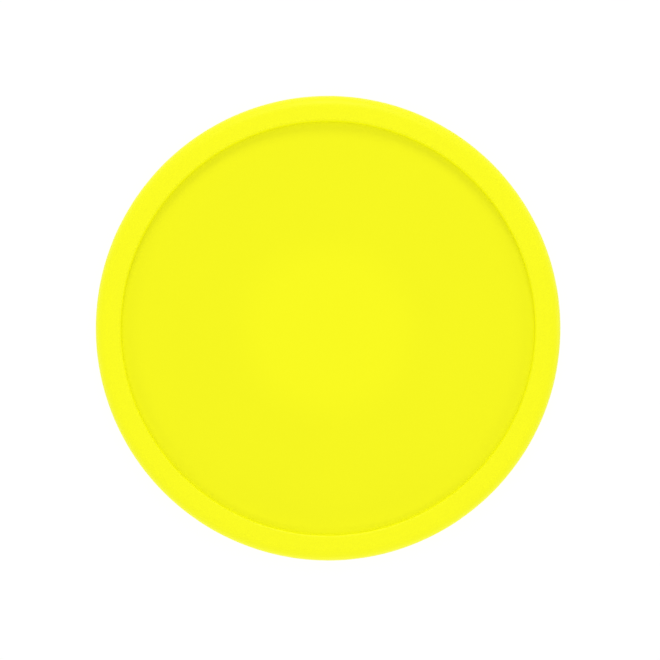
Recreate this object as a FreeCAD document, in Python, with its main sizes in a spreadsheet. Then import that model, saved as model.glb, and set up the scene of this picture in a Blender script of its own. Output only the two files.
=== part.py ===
import FreeCAD, Part
import math
import os
import Sketcher

# Closed-face juggling ring, also called a juggling disc: a stiff round plate with a soft rim
# moulded over its edge. Millimetres. The origin is the centre of the disc on the plane that it
# rests on, and +Z is the disc's axis. Both faces are alike, apart from small moulding marks on
# the back, which is the face that points down.

DIMENSIONS = {
    # whole disc
    "disc_diameter": 240.0,           # over the parting line of the rim
    "rim_thickness": 12.0,
    # soft rim; an inset is a distance in from the disc's outer edge
    "rim_width": 13.5,
    "rim_corner_radius": 1.5,         # the rim's inner corner, on both faces
    "parting_line_height": 0.15,      # fine ridge where the two mould halves meet
    "parting_line_width": 0.4,
    "rim_gate_count": 4,
    "rim_gate_inset": 8.0,
    "rim_gate_dimple": 3.0,
    "rim_gate_nub": 1.2,
    "rim_gate_depth": 0.3,
    # stiff plate
    "plate_thickness": 2.4,
    "plate_inset": 5.5,               # the plate's own edge, inside the rim
    "plate_edge_radius": 0.6,
    "interlock_count": 24,            # holes that the rim's material runs through
    "interlock_diameter": 4.0,
    "interlock_inset": 9.25,
    # moulding marks on the back of the plate
    "plate_gate_dimple": 7.0,
    "plate_gate_nub": 2.0,
    "plate_gate_depth": 0.4,
    "ejector_count": 6,               # pairs of ejector marks round the axis
    "ejector_diameter": 8.0,
    "ejector_inner_radius": 45.0,
    "ejector_outer_radius": 92.0,
    "ejector_depth": 0.1,
}

RIM_GATE_TURN = 45.0                  # degrees from +X to the rim's first gate
FULL_TURN = 360.0

START, END, CENTRE = 1, 2, 3          # the sketcher's names for points of an edge
X_AXIS = -1                           # the sketch's own horizontal axis
ORIGIN = (X_AXIS, START)

PLATE_BACK = "(dimensions.rim_thickness - dimensions.plate_thickness) / 2"
BACK_LAND = "0 mm"

doc = FreeCAD.newDocument("juggling_disc")


def make_sheet():
    """Put every driving dimension in the spreadsheet, under its own name."""
    sheet = doc.addObject("Spreadsheet::Sheet", "dimensions")
    for row, (name, value) in enumerate(DIMENSIONS.items(), start=1):
        sheet.set(f"A{row}", name)
        sheet.set(f"B{row}", str(value))
        sheet.setAlias(f"B{row}", name)
    doc.recompute()


def new_body(label):
    body = doc.addObject("PartDesign::Body", label)
    body.Label = label
    doc.recompute()
    return body


def origin_part(body, role):
    """One of the body's own origin planes or axes."""
    return next(item for item in body.Origin.OriginFeatures if item.Role == role)


def new_sketch(body, name, plane):
    sketch = body.newObject("Sketcher::SketchObject", name)
    sketch.AttachmentSupport = [(origin_part(body, plane), "")]
    sketch.MapMode = "FlatFace"
    return sketch


def inset(name):
    """The expression of a radius that the spreadsheet states as an inset from the edge."""
    return f"dimensions.disc_diameter / 2 - dimensions.{name}"


def bind(sketch, name, expression, *constraint):
    """Add a dimension to a sketch and bind it to the spreadsheet."""
    index = sketch.addConstraint(Sketcher.Constraint(*constraint))
    sketch.renameConstraint(index, name)
    sketch.setExpression(f"Constraints.{name}", expression)


def add_line(sketch, start, end):
    edge = Part.LineSegment(FreeCAD.Vector(*start, 0), FreeCAD.Vector(*end, 0))
    return sketch.addGeometry(edge)


def add_arc(sketch, centre, radius, start_degrees, end_degrees):
    circle = Part.Circle(FreeCAD.Vector(*centre, 0), FreeCAD.Vector(0, 0, 1), radius)
    edge = Part.ArcOfCircle(circle, math.radians(start_degrees), math.radians(end_degrees))
    return sketch.addGeometry(edge)


def join(sketch, kind, *edges):
    """Join each edge's end to the next one's start: Coincident, or Tangent as well."""
    for first, second in zip(edges, edges[1:]):
        sketch.addConstraint(Sketcher.Constraint(kind, first, END, second, START))


def revolve(body, sketch, name):
    solid = body.newObject("PartDesign::Revolution", name)
    solid.Profile = sketch
    solid.ReferenceAxis = (sketch, ["V_Axis"])
    solid.Angle = FULL_TURN
    doc.recompute()


def circles_sketch(body, name, height, turn, circles):
    """Circles on a level plane, each given as the expressions of its place along the
    sketch's X axis and of its diameter. The plane's turn about the disc's axis is in degrees."""
    sketch = new_sketch(body, name, "XY_Plane")
    sketch.AttachmentOffset.Rotation = FreeCAD.Rotation(FreeCAD.Vector(0, 0, 1), turn)
    sketch.setExpression("AttachmentOffset.Base.z", height)
    for number, (place, diameter) in enumerate(circles):
        seed = Part.Circle(FreeCAD.Vector(number + 1, 0, 0), FreeCAD.Vector(0, 0, 1), 1)
        edge = sketch.addGeometry(seed)
        if place:
            sketch.addConstraint(Sketcher.Constraint("PointOnObject", edge, CENTRE, X_AXIS))
            bind(sketch, f"place_{number}", place, "DistanceX", *ORIGIN, edge, CENTRE, number + 1)
        else:
            sketch.addConstraint(Sketcher.Constraint("Coincident", edge, CENTRE, *ORIGIN))
        bind(sketch, f"diameter_{number}", diameter, "Diameter", edge, 2)
    return sketch


def cut_upwards(body, sketch, name, depth=None):
    """Cut a sketch's area out of the body towards +Z, to a depth or right through."""
    before = body.Shape.Volume
    pocket = body.newObject("PartDesign::Pocket", name)
    pocket.Profile = sketch
    pocket.Reversed = True
    if depth:
        pocket.setExpression("Length", depth)
    else:
        pocket.Type = "ThroughAll"
    doc.recompute()
    if body.Shape.Volume >= before:
        raise RuntimeError(f"{name} cuts nothing")
    return pocket


def repeat_round_axis(body, feature, name, count):
    before = body.Shape.Volume
    pattern = body.newObject("PartDesign::PolarPattern", name)
    pattern.Originals = [feature]
    pattern.Axis = (origin_part(body, "Z_Axis"), [""])
    pattern.Angle = FULL_TURN
    pattern.setExpression("Occurrences", count)
    body.Tip = pattern
    doc.recompute()
    if body.Shape.Volume >= before:
        raise RuntimeError(f"{name} repeats nothing")


def make_core_plate():
    """A flat round plate with a rounded edge, the interlock holes near it, and the moulding
    marks on its back: a gate at the centre and pairs of ejector marks round it."""
    body = new_body("core_plate")
    outline = circles_sketch(body, "plate_outline", PLATE_BACK, 0, [
        (None, "dimensions.disc_diameter - 2 * dimensions.plate_inset"),
    ])
    plate = body.newObject("PartDesign::Pad", "plate")
    plate.Profile = outline
    plate.setExpression("Length", "dimensions.plate_thickness")
    doc.recompute()

    edge_names = [f"Edge{number}" for number, edge in enumerate(plate.Shape.Edges, start=1)
                  if isinstance(edge.Curve, Part.Circle)]
    rounding = body.newObject("PartDesign::Fillet", "plate_edge")
    rounding.Base = (plate, edge_names)
    rounding.setExpression("Radius", "dimensions.plate_edge_radius")
    doc.recompute()

    holes = circles_sketch(body, "interlock_hole", PLATE_BACK, 0, [
        (inset("interlock_inset"), "dimensions.interlock_diameter"),
    ])
    hole = cut_upwards(body, holes, "interlock_cut")
    repeat_round_axis(body, hole, "interlock_holes", "dimensions.interlock_count")

    gate = circles_sketch(body, "plate_gate", PLATE_BACK, 0, [
        (None, "dimensions.plate_gate_dimple"),
        (None, "dimensions.plate_gate_nub"),
    ])
    cut_upwards(body, gate, "plate_gate_dimple", "dimensions.plate_gate_depth")

    marks = circles_sketch(body, "ejector_pair", PLATE_BACK, 0, [
        ("dimensions.ejector_inner_radius", "dimensions.ejector_diameter"),
        ("dimensions.ejector_outer_radius", "dimensions.ejector_diameter"),
    ])
    pair = cut_upwards(body, marks, "ejector_cut", "dimensions.ejector_depth")
    repeat_round_axis(body, pair, "ejector_marks", "dimensions.ejector_count")
    return body


def rim_section(body):
    """Section of the rim without its groove: flat on both faces, a full round at the outer
    edge with the parting line's ridge on it, and rounded corners at the inner wall."""
    top = DIMENSIONS["rim_thickness"]
    middle = top / 2
    outer = DIMENSIONS["disc_diameter"] / 2
    inner = outer - DIMENSIONS["rim_width"]
    corner = DIMENSIONS["rim_corner_radius"]
    round_place = outer - DIMENSIONS["parting_line_height"] - middle
    half_ridge = DIMENSIONS["parting_line_width"] / 2
    ridge_angle = math.degrees(math.asin(half_ridge / middle))
    ridge_foot = round_place + middle * math.cos(math.radians(ridge_angle))

    sketch = new_sketch(body, "rim_section", "XZ_Plane")
    back_land = add_line(sketch, (inner + corner, 0), (round_place, 0))
    back_round = add_arc(sketch, (round_place, middle), middle, -90, -ridge_angle)
    ridge_back = add_line(sketch, (ridge_foot, middle - half_ridge), (outer, middle - half_ridge))
    ridge_edge = add_line(sketch, (outer, middle - half_ridge), (outer, middle + half_ridge))
    ridge_front = add_line(sketch, (outer, middle + half_ridge), (ridge_foot, middle + half_ridge))
    front_round = add_arc(sketch, (round_place, middle), middle, ridge_angle, 90)
    front_land = add_line(sketch, (round_place, top), (inner + corner, top))
    front_corner = add_arc(sketch, (inner + corner, top - corner), corner, 90, 180)
    wall = add_line(sketch, (inner, top - corner), (inner, corner))
    back_corner = add_arc(sketch, (inner + corner, corner), corner, 180, 270)

    join(sketch, "Tangent", front_round, front_land, front_corner, wall, back_corner,
         back_land, back_round)
    join(sketch, "Coincident", back_round, ridge_back, ridge_edge, ridge_front, front_round)
    for level in (back_land, front_land, ridge_back, ridge_front):
        sketch.addConstraint(Sketcher.Constraint("Horizontal", level))
    for upright in (ridge_edge, wall):
        sketch.addConstraint(Sketcher.Constraint("Vertical", upright))
    sketch.addConstraint(Sketcher.Constraint("Coincident", back_round, CENTRE, front_round, CENTRE))
    for front, back in ((front_round, back_round), (front_corner, back_corner)):
        sketch.addConstraint(Sketcher.Constraint("Equal", front, back))
    sketch.addConstraint(Sketcher.Constraint("PointOnObject", back_land, START, X_AXIS))
    bind(sketch, "thickness", "dimensions.rim_thickness",
         "DistanceY", *ORIGIN, front_land, START, top)
    bind(sketch, "inner_place", inset("rim_width"), "DistanceX", *ORIGIN, wall, START, inner)
    bind(sketch, "corner_radius", "dimensions.rim_corner_radius", "Radius", front_corner, corner)
    bind(sketch, "round_place",
         "(dimensions.disc_diameter - dimensions.rim_thickness) / 2 - dimensions.parting_line_height",
         "DistanceX", *ORIGIN, back_round, CENTRE, round_place)
    bind(sketch, "outer_place", "dimensions.disc_diameter / 2",
         "DistanceX", *ORIGIN, ridge_edge, START, outer)
    bind(sketch, "ridge_back", "(dimensions.rim_thickness - dimensions.parting_line_width) / 2",
         "DistanceY", *ORIGIN, ridge_edge, START, middle - half_ridge)
    bind(sketch, "ridge_width", "dimensions.parting_line_width",
         "DistanceY", ridge_edge, START, ridge_edge, END, 2 * half_ridge)
    return sketch


def make_soft_rim(plate):
    """The rim's full section, less the plate: that leaves the groove that the plate's edge sits
    in, and the pegs of rim material through the plate's interlock holes."""
    blank = new_body("rim_blank")
    revolve(blank, rim_section(blank), "rim")

    gate = circles_sketch(blank, "rim_gate", BACK_LAND, RIM_GATE_TURN, [
        (inset("rim_gate_inset"), "dimensions.rim_gate_dimple"),
        (inset("rim_gate_inset"), "dimensions.rim_gate_nub"),
    ])
    dimple = cut_upwards(blank, gate, "rim_gate_cut", "dimensions.rim_gate_depth")
    repeat_round_axis(blank, dimple, "rim_gates", "dimensions.rim_gate_count")

    rim = doc.addObject("Part::Cut", "soft_rim")
    rim.Label = "soft_rim"
    rim.Base = blank
    rim.Tool = plate
    doc.recompute()
    return rim


def check_document(sub_parts):
    for item in doc.Objects:
        if "Invalid" in item.State or "Error" in item.State:
            raise RuntimeError(f"{item.Label} failed: {item.State}")
    for part in sub_parts:
        if part.Shape.isNull() or not part.Shape.isValid() or len(part.Shape.Solids) != 1:
            raise RuntimeError(f"{part.Label} isn't one valid solid")


def export(sub_parts):
    os.makedirs("parts", exist_ok=True)
    for part in sub_parts:
        part.Shape.exportStep(f"parts/{part.Label}.step")
        print(f"{part.Label}: {part.Shape.Volume / 1000:.2f} cubic centimetres")


make_sheet()
core_plate = make_core_plate()
soft_rim = make_soft_rim(core_plate)
doc.recompute()
check_document([core_plate, soft_rim])
export([core_plate, soft_rim])
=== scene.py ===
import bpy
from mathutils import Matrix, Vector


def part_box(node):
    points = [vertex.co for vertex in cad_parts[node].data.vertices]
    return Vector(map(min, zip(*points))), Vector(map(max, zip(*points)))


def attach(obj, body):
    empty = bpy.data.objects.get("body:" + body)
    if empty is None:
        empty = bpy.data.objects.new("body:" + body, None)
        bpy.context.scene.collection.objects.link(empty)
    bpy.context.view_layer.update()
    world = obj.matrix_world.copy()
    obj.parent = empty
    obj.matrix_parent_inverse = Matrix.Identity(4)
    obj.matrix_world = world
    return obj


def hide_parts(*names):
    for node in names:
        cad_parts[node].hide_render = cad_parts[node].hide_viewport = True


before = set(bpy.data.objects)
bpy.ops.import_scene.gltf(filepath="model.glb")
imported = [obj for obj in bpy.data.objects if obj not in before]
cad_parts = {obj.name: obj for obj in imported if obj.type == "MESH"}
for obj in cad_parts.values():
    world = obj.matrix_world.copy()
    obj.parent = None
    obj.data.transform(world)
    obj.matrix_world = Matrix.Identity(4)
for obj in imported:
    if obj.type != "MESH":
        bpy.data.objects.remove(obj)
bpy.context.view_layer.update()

import math

import bmesh
import bpy
from mathutils import noise

# Closed-face juggling ring. The stiff plate and the soft rim are rebuilt here as fine meshes in
# the places of the two CAD nodes, with the edges, seams and moulding marks of the real pieces.
# Metres. The disc's axis is Z, and its plain front faces +Z.

# ---------------------------------------------------------------- sizes

RIM_LOW, RIM_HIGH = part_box("soft_rim")
PLATE_LOW, PLATE_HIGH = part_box("core_plate")

OUTER_RADIUS = RIM_HIGH.x
BACK = RIM_LOW.z
FRONT = RIM_HIGH.z
MIDDLE = (BACK + FRONT) / 2
PLATE_RADIUS = PLATE_HIGH.x
PLATE_BACK = PLATE_LOW.z
PLATE_FRONT = PLATE_HIGH.z

RIM_WIDTH = 0.0135
RIM_INNER_RADIUS = OUTER_RADIUS - RIM_WIDTH
RIM_CORNER = 0.0015
RIDGE_HEIGHT = 0.00015                # parting line of the rim's mould
RIDGE_HALF_WIDTH = 0.0002
ROUND_RADIUS = (FRONT - BACK) / 2     # the rim's outer edge is a full round
ROUND_PLACE = OUTER_RADIUS - RIDGE_HEIGHT - ROUND_RADIUS
LAND_PLACE = RIM_INNER_RADIUS + RIM_CORNER
SEAM_WIDTH = 0.00006                  # fine groove where the rim meets the plate
PLATE_EDGE = 0.0006

INTERLOCK_COUNT = 24
INTERLOCK_RADIUS = 0.002
INTERLOCK_PLACE = OUTER_RADIUS - 0.00925
INTERLOCK_MARGIN = 0.0015             # plain plate kept inside the ring of interlock holes

GATE_RADIUS = 0.0035                  # dimple round the plate's gate
EJECTOR_COUNT = 6
EJECTOR_RADIUS = 0.004
EJECTOR_PLACES = (0.045, 0.092)
EJECTOR_MARGIN = 0.0025               # plain plate kept round each ring of ejector marks
RIM_GATE_COUNT = 4
RIM_GATE_TURN = math.radians(45)
RIM_GATE_RADIUS = 0.0015
RIM_GATE_PLACE = OUTER_RADIUS - 0.008

SEGMENTS = 384                        # round the disc's axis
SMALL_SEGMENTS = 40                   # round a hole or a moulding mark
RING_STEP = 0.009                     # between the plate's rings of vertices


# ---------------------------------------------------------------- mesh tools

def spread(count, turn=0.0):
    """Angles evenly spaced round a full turn."""
    return [turn + 2 * math.pi * step / count for step in range(count)]


def polar(radius, angle):
    return radius * math.cos(angle), radius * math.sin(angle)


def arc(centre, radius, first, last, steps):
    """Points of an outline along an arc, with its angles in degrees."""
    points = []
    for step in range(steps + 1):
        angle = math.radians(first + (last - first) * step / steps)
        points.append((centre[0] + radius * math.cos(angle), centre[1] + radius * math.sin(angle)))
    return points


def ring(mesh, radius, height, centre=(0.0, 0.0), count=SEGMENTS):
    """A level circle of vertices."""
    corners = []
    for angle in spread(count):
        x, y = polar(radius, angle)
        corners.append(mesh.verts.new((centre[0] + x, centre[1] + y, height)))
    return corners


def bridge(mesh, one, other):
    """Quads between two rings of the same count."""
    for index in range(len(one)):
        mesh.faces.new((one[index - 1], one[index], other[index], other[index - 1]))


def sweep(mesh, outline, start=None, centre=(0.0, 0.0), count=SEGMENTS):
    """Turn an outline of (radius, height) points about a vertical axis. It begins at the ring
    called start, if there is one, and gives back its first and last rings."""
    first = last = start
    for radius, height in outline:
        fresh = ring(mesh, radius, height, centre, count)
        if last:
            bridge(mesh, last, fresh)
        else:
            first = fresh
        last = fresh
    return first, last


def close(mesh, edge, height, centre=(0.0, 0.0)):
    """Close a ring with a fan about its centre."""
    hub = mesh.verts.new((*centre, height))
    for index in range(len(edge)):
        mesh.faces.new((edge[index - 1], edge[index], hub))


def pierce(mesh, outer, inner, holes):
    """Fill the level band between two rings, round the rings of its holes."""
    edges = []
    for loop in (outer, inner, *holes):
        for index in range(len(loop)):
            pair = (loop[index - 1], loop[index])
            edges.append(mesh.edges.get(pair) or mesh.edges.new(pair))
    bmesh.ops.triangle_fill(mesh, use_beauty=True, use_dissolve=False, edges=edges)


def small_rings(mesh, place, angles, radius, height):
    """One small ring for each angle, at that distance from the axis: (centre, ring) pairs."""
    centres = [polar(place, angle) for angle in angles]
    return [(centre, ring(mesh, radius, height, centre, SMALL_SEGMENTS)) for centre in centres]


def sink(mesh, marks, outline):
    """Close each small ring with a turned outline, given as (radius, rise above the ring)."""
    for centre, edge in marks:
        height = edge[0].co.z
        points = [(radius, height + rise) for radius, rise in outline]
        _, last = sweep(mesh, points, edge, centre, SMALL_SEGMENTS)
        close(mesh, last, points[-1][1], centre)


def finish_piece(mesh, name, node, material, crease=32):
    """Turn a bmesh into a smooth-shaded piece that stands for a CAD node."""
    bmesh.ops.recalc_face_normals(mesh, faces=mesh.faces)
    data = bpy.data.meshes.new(name)
    mesh.to_mesh(data)
    mesh.free()
    data.shade_smooth()
    data.set_sharp_from_angle(angle=math.radians(crease))
    data.materials.append(material)
    piece = bpy.data.objects.new(name, data)
    bpy.context.scene.collection.objects.link(piece)
    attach(piece, "root")
    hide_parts(node)
    return piece


# ---------------------------------------------------------------- the plate

EJECTOR_OUTLINE = ((0.00396, 0.00002), (0.00388, 0.00008), (0.00376, 0.0001), (0.002, 0.0001))
GATE_OUTLINE = (
    (0.00342, 0.00004), (0.0032, 0.00018), (0.0029, 0.00032), (0.0025, 0.00039),
    (0.0021, 0.0004), (0.0015, 0.0004), (0.0012, 0.00036), (0.00105, 0.00024),
    (0.00098, 0.00006), (0.00085, 0.00001), (0.0005, 0.00003),
)


def rings_inward(mesh, start, last_radius, height):
    """Evenly spaced rings on a level face, from a ring towards the axis."""
    first_radius = start[0].co.xy.length
    steps = max(1, round((first_radius - last_radius) / RING_STEP))
    outline = []
    for step in range(1, steps + 1):
        outline.append((first_radius + (last_radius - first_radius) * step / steps, height))
    return sweep(mesh, outline, start)[1]


def plate_edge():
    """Outline of the plate's rounded edge, which the groove in the rim follows too."""
    place = PLATE_RADIUS - PLATE_EDGE
    outline = arc((place, PLATE_BACK + PLATE_EDGE), PLATE_EDGE, -90, 0, 6)
    outline += arc((place, PLATE_FRONT - PLATE_EDGE), PLATE_EDGE, 0, 90, 6)
    return outline


def build_plate(material):
    mesh = bmesh.new()
    holes_inside = INTERLOCK_PLACE - INTERLOCK_RADIUS - INTERLOCK_MARGIN
    hole_angles = spread(INTERLOCK_COUNT)

    # rounded edge, inside the rim
    back_edge, front_edge = sweep(mesh, plate_edge())

    # interlock holes through the plate, near its edge
    faces = []
    for height, edge in ((PLATE_BACK, back_edge), (PLATE_FRONT, front_edge)):
        holes = small_rings(mesh, INTERLOCK_PLACE, hole_angles, INTERLOCK_RADIUS, height)
        inner = ring(mesh, holes_inside, height)
        pierce(mesh, edge, inner, [loop for _, loop in holes])
        faces.append((inner, holes))
    for (_, back_loop), (_, front_loop) in zip(faces[0][1], faces[1][1]):
        bridge(mesh, back_loop, front_loop)

    # plain front
    last = rings_inward(mesh, faces[1][0], RING_STEP, PLATE_FRONT)
    close(mesh, last, PLATE_FRONT)

    # back, with its rings of ejector marks and its gate
    last = faces[0][0]
    for place in sorted(EJECTOR_PLACES, reverse=True):
        last = rings_inward(mesh, last, place + EJECTOR_RADIUS + EJECTOR_MARGIN, PLATE_BACK)
        marks = small_rings(mesh, place, spread(EJECTOR_COUNT), EJECTOR_RADIUS, PLATE_BACK)
        inner = ring(mesh, place - EJECTOR_RADIUS - EJECTOR_MARGIN, PLATE_BACK)
        pierce(mesh, last, inner, [loop for _, loop in marks])
        sink(mesh, marks, EJECTOR_OUTLINE)
        last = inner
    last = rings_inward(mesh, last, GATE_RADIUS, PLATE_BACK)
    sink_points = [(radius, PLATE_BACK + rise) for radius, rise in GATE_OUTLINE]
    last = sweep(mesh, sink_points, last)[1]
    close(mesh, last, sink_points[-1][1])
    return finish_piece(mesh, "plate", "core_plate", material)


# ---------------------------------------------------------------- the rim

RIM_GATE_OUTLINE = (
    (0.00146, 0.00002), (0.0013, 0.00016), (0.0011, 0.00027), (0.0009, 0.0003),
    (0.00068, 0.00028), (0.00061, 0.00016), (0.00056, 0.00003), (0.0004, 0.00001),
)


def build_rim(material):
    mesh = bmesh.new()
    peg_angles = spread(INTERLOCK_COUNT)
    ridge_angle = math.degrees(math.asin(RIDGE_HALF_WIDTH / ROUND_RADIUS)) + 0.6

    # front: seam, inner wall, corner, land, outer round, parting line, outer round
    outline = [
        (RIM_INNER_RADIUS + SEAM_WIDTH, PLATE_FRONT),
        (RIM_INNER_RADIUS + 0.3 * SEAM_WIDTH, PLATE_FRONT + 0.4 * SEAM_WIDTH),
        (RIM_INNER_RADIUS, PLATE_FRONT + SEAM_WIDTH),
    ]
    outline += arc((LAND_PLACE, FRONT - RIM_CORNER), RIM_CORNER, 180, 90, 14)
    outline += arc((ROUND_PLACE, MIDDLE), ROUND_RADIUS, 90, ridge_angle, 28)
    outline += [
        (OUTER_RADIUS - 0.4 * RIDGE_HEIGHT, MIDDLE + RIDGE_HALF_WIDTH),
        (OUTER_RADIUS, MIDDLE + 0.5 * RIDGE_HALF_WIDTH),
        (OUTER_RADIUS, MIDDLE - 0.5 * RIDGE_HALF_WIDTH),
        (OUTER_RADIUS - 0.4 * RIDGE_HEIGHT, MIDDLE - RIDGE_HALF_WIDTH),
    ]
    outline += arc((ROUND_PLACE, MIDDLE), ROUND_RADIUS, -ridge_angle, -90, 28)
    front_foot, back_round_end = sweep(mesh, outline)

    # back land, with the gates of the rim's mould
    gates = small_rings(mesh, RIM_GATE_PLACE, spread(RIM_GATE_COUNT, RIM_GATE_TURN),
                        RIM_GATE_RADIUS, BACK)
    land_inner = ring(mesh, LAND_PLACE, BACK)
    pierce(mesh, back_round_end, land_inner, [loop for _, loop in gates])
    sink(mesh, gates, RIM_GATE_OUTLINE)

    # back corner, wall and seam
    outline = arc((LAND_PLACE, BACK + RIM_CORNER), RIM_CORNER, 270, 180, 14)[1:]
    outline += [
        (RIM_INNER_RADIUS, PLATE_BACK - SEAM_WIDTH),
        (RIM_INNER_RADIUS + 0.3 * SEAM_WIDTH, PLATE_BACK - 0.4 * SEAM_WIDTH),
        (RIM_INNER_RADIUS + SEAM_WIDTH, PLATE_BACK),
    ]
    back_foot = sweep(mesh, outline, land_inner)[1]

    # groove round the plate's edge, and the pegs through its interlock holes
    groove_back, groove_front = sweep(mesh, plate_edge())
    pegs = []
    for height, outer, inner in ((PLATE_BACK, groove_back, back_foot),
                                 (PLATE_FRONT, groove_front, front_foot)):
        feet = small_rings(mesh, INTERLOCK_PLACE, peg_angles, INTERLOCK_RADIUS, height)
        pierce(mesh, outer, inner, [loop for _, loop in feet])
        pegs.append(feet)
    for (_, back_loop), (_, front_loop) in zip(*pegs):
        bridge(mesh, back_loop, front_loop)

    # the parting line's ridge isn't quite even
    for vertex in mesh.verts:
        radius = vertex.co.xy.length
        if radius > OUTER_RADIUS - 0.5 * RIDGE_HEIGHT:
            low = 0.5 + 0.5 * noise.noise(vertex.co.xy.to_3d() * 90)
            vertex.co.xy *= 1 - 0.5 * low * RIDGE_HEIGHT / radius
    return finish_piece(mesh, "rim", "soft_rim", material)


# ---------------------------------------------------------------- materials

def add_node(tree, kind, inputs=None, **settings):
    """A shader node. Each input is a value, or the output socket that it is linked to."""
    fresh = tree.nodes.new(kind)
    for name, value in settings.items():
        setattr(fresh, name, value)
    for name, value in (inputs or {}).items():
        if isinstance(value, bpy.types.NodeSocket):
            tree.links.new(value, fresh.inputs[name])
        else:
            fresh.inputs[name].default_value = value
    return fresh


def noise_value(tree, place, scale, detail=2.0, roughness=0.5):
    return add_node(tree, "ShaderNodeTexNoise", {
        "Vector": place, "Scale": scale, "Detail": detail, "Roughness": roughness,
    }).outputs["Fac"]


def remap(tree, value, low, high, to_low=0.0, to_high=1.0, smooth=False):
    return add_node(tree, "ShaderNodeMapRange", {
        "Value": value, "From Min": low, "From Max": high, "To Min": to_low, "To Max": to_high,
    }, interpolation_type="SMOOTHSTEP" if smooth else "LINEAR").outputs["Result"]


def combine(tree, operation, *values):
    """A Math node on two or three values."""
    return add_node(tree, "ShaderNodeMath", dict(enumerate(values)), operation=operation).outputs[0]


def mix_colours(tree, share, one, other):
    """Blend two colours, each a colour or an output socket, by a share from 0 to 1."""
    fresh = add_node(tree, "ShaderNodeMix", {0: share, 6: one, 7: other}, data_type="RGBA")
    return fresh.outputs[2]


SCRATCH_DEPTH = 0.00001
SCRATCH_ASPECT = 0.03                 # a scratch's width over its length
SCRATCH_GLOSS = 0.12                  # how much rougher a scratch is
GLOSS_DRIFT = 0.04                    # how far the roughness drifts each way
PAINTED_PIT_SHADE = 0.06                      # painted shade: how much darker the deepest pits of the grain are painted
PAINTED_PIT_RANGE = (0.35, 0.6)               # grain values where the painted shade is deepest and where it ends
PAINTED_GLOW_RANGE = (0.03, 0.055)           # radii between which the painted pool of light round the axis fades out


def scratches(tree, place, turn, spacing, threshold):
    """Sparse fine lines that run one way, in patches, from 0 to 1. The turn, in degrees, also
    sets the size of the patches a little, so that two sets don't share theirs."""
    stretched = add_node(tree, "ShaderNodeMapping", {
        "Vector": place, "Rotation": (0.0, 0.0, math.radians(turn)),
        "Scale": (1 / spacing, SCRATCH_ASPECT / spacing, SCRATCH_ASPECT / spacing),
    }).outputs["Vector"]
    lines = remap(tree, noise_value(tree, stretched, 1.0, 1.0), threshold, threshold + 0.05)
    patches = remap(tree, noise_value(tree, place, 35 + turn / 9, 2.0), 0.52, 0.62)
    return combine(tree, "MULTIPLY", lines, patches)


def bump(tree, height, distance, normal=None, invert=False):
    inputs = {"Height": height, "Distance": distance, "Strength": 1.0}
    if normal:
        inputs["Normal"] = normal
    return add_node(tree, "ShaderNodeBump", inputs, invert=invert).outputs["Normal"]


def near_axis(tree, place, near, far):
    """1 within the near distance of the disc's axis, falling smoothly to 0 at the far one."""
    level = add_node(tree, "ShaderNodeVectorMath", {0: place, 1: (1.0, 1.0, 0.0)},
                     operation="MULTIPLY").outputs[0]
    radius = add_node(tree, "ShaderNodeVectorMath", {0: level}, operation="LENGTH").outputs["Value"]
    return remap(tree, radius, near, far, 1.0, 0.0, smooth=True)


def moulded_surface(name, pale, deep, specular, roughness, grain_size, grain_height, wave_height,
                    painted_glow=None):
    """A moulded plastic: slight colour drift, fine mould grain with painted shade in its pits, soft
    waves and faint scratches. The last argument paints a paler pool of light round the disc's axis."""
    material = bpy.data.materials.new(name)
    material.use_nodes = True
    tree = material.node_tree
    shader = tree.nodes["Principled BSDF"]
    place = add_node(tree, "ShaderNodeTexCoord").outputs["Object"]

    drift = noise_value(tree, place, 22.0, 5.0, 0.6)
    colour = mix_colours(tree, remap(tree, drift, 0.3, 0.7), deep, pale)
    # painted pool of light: a paler colour round the disc's axis
    if painted_glow:
        colour = mix_colours(tree, near_axis(tree, place, *PAINTED_GLOW_RANGE), colour, painted_glow)
    grain = noise_value(tree, place, 1 / grain_size, 3.0, 0.65)
    # painted shade: the colour is darkened in the grain's deepest hollows, as if shaded there
    painted_pit_shade = remap(tree, grain, *PAINTED_PIT_RANGE, PAINTED_PIT_SHADE, 0.0)
    colour = mix_colours(tree, painted_pit_shade, colour, (0.0, 0.0, 0.0, 1.0))

    marks = combine(tree, "MAXIMUM", scratches(tree, place, 24, 0.0016, 0.71),
                    scratches(tree, place, 118, 0.0021, 0.72))
    uneven = remap(tree, noise_value(tree, place, 60.0, 4.0, 0.6), 0.3, 0.7,
                   roughness - GLOSS_DRIFT, roughness + GLOSS_DRIFT)
    gloss = combine(tree, "MULTIPLY_ADD", marks, SCRATCH_GLOSS, uneven)

    relief = bump(tree, noise_value(tree, place, 14.0, 1.0), wave_height)
    relief = bump(tree, grain, grain_height, relief)
    relief = bump(tree, marks, SCRATCH_DEPTH, relief, invert=True)

    shader.inputs["Specular IOR Level"].default_value = specular
    tree.links.new(colour, shader.inputs["Base Color"])
    tree.links.new(gloss, shader.inputs["Roughness"])
    tree.links.new(relief, shader.inputs["Normal"])
    return material


def plate_material():
    """Stiff plastic in fluorescent yellow, painted a little paler round its axis as a pool of
    light.
    """
    return moulded_surface(
        "plate_plastic", (0.941, 0.946, 0.003, 1), (0.931, 0.936, 0.003, 1), specular=0.2,
        roughness=0.45, grain_size=0.0003, grain_height=0.000012, wave_height=0.0002,
        # the paler colour of the painted pool of light round the axis
        painted_glow=(0.964, 0.969, 0.003, 1))


def rim_material():
    """Soft elastomer in fluorescent yellow, with a coarser, deeper grain than the plate."""
    return moulded_surface(
        "rim_rubber", (0.982, 0.987, 0.0022, 1), (0.972, 0.977, 0.0022, 1), specular=0.25,
        roughness=0.45, grain_size=0.00045, grain_height=0.00002, wave_height=0.0001)


# ---------------------------------------------------------------- surroundings

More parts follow.
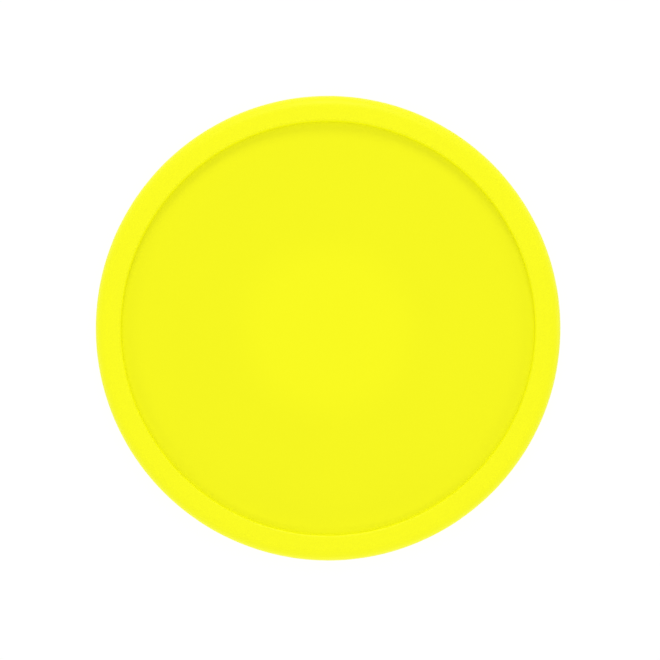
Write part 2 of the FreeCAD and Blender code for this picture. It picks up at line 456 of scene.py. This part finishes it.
FLOOR_SIZE = 12.0
FLOOR_DROP = 0.0002                   # keeps the floor clear of the disc's back
FLOOR_GREY = (0.1, 0.1, 0.1, 1)       # dark, so that the disc's colour doesn't show on it
FLOOR_GLOW = 0.92                     # the light of its own that makes it white
WORLD_STRENGTH = 0.78
LIGHT_DISTANCE = 3.0
SOFTBOXES = (                         # name, azimuth and elevation in degrees, size, power
    ("key", 90, 36, 1.2, 18.0),
    ("low_fill", 270, 10, 0.9, 8.5),
    ("high_fill", 270, 48, 0.9, 5.0),
    ("left_fill", 180, 28, 0.9, 6.0),
    ("right_fill", 0, 28, 0.9, 6.0),
)
CAMERA_HEIGHT = 1.6
VIEW_WIDTH = 0.3408                   # width of the picture at the disc's widest level
CAMERA_PLACE = (0.00098, -0.00093)    # the disc stands slightly left of and above the centre


def build_floor():
    bpy.ops.mesh.primitive_plane_add(size=FLOOR_SIZE, location=(0, 0, BACK - FLOOR_DROP))
    floor = bpy.context.object
    floor.name = "floor"
    material = bpy.data.materials.new("floor_white")
    material.use_nodes = True
    shader = material.node_tree.nodes["Principled BSDF"]
    shader.inputs["Base Color"].default_value = FLOOR_GREY
    shader.inputs["Roughness"].default_value = 0.8
    shader.inputs["Specular IOR Level"].default_value = 0.0
    shader.inputs["Emission Color"].default_value = (1, 1, 1, 1)
    shader.inputs["Emission Strength"].default_value = FLOOR_GLOW
    floor.data.materials.append(material)


def add_softbox(name, azimuth, elevation, size, power):
    """A square area light that faces the disc. Azimuth is from +X, in degrees. Only the key
    shows in the disc's sheen; the others just lighten its shadows."""
    light = bpy.data.lights.new(name, "AREA")
    light.shape = "SQUARE"
    light.size = size
    light.energy = power
    softbox = bpy.data.objects.new(name, light)
    level, rise = polar(LIGHT_DISTANCE, math.radians(elevation))
    softbox.location = (*polar(level, math.radians(azimuth)), rise)
    softbox.rotation_euler = (-softbox.location).to_track_quat("-Z", "Y").to_euler()
    softbox.visible_glossy = name == "key"
    bpy.context.scene.collection.objects.link(softbox)


def build_lights():
    world = bpy.data.worlds.new("studio")
    world.use_nodes = True
    world.node_tree.nodes["Background"].inputs["Color"].default_value = (1, 1, 1, 1)
    world.node_tree.nodes["Background"].inputs["Strength"].default_value = WORLD_STRENGTH
    bpy.context.scene.world = world
    for name, azimuth, elevation, size, power in SOFTBOXES:
        add_softbox(name, azimuth, elevation, size, power)


def build_camera():
    camera = bpy.data.cameras.new("camera")
    camera.sensor_width = 36.0
    camera.lens = camera.sensor_width * (CAMERA_HEIGHT - MIDDLE) / VIEW_WIDTH
    viewer = bpy.data.objects.new("camera", camera)
    viewer.location = (*CAMERA_PLACE, CAMERA_HEIGHT)
    bpy.context.scene.collection.objects.link(viewer)
    bpy.context.scene.camera = viewer


build_plate(plate_material())
build_rim(rim_material())
build_floor()
build_lights()
build_camera()
bpy.context.scene.view_settings.view_transform = "Standard"
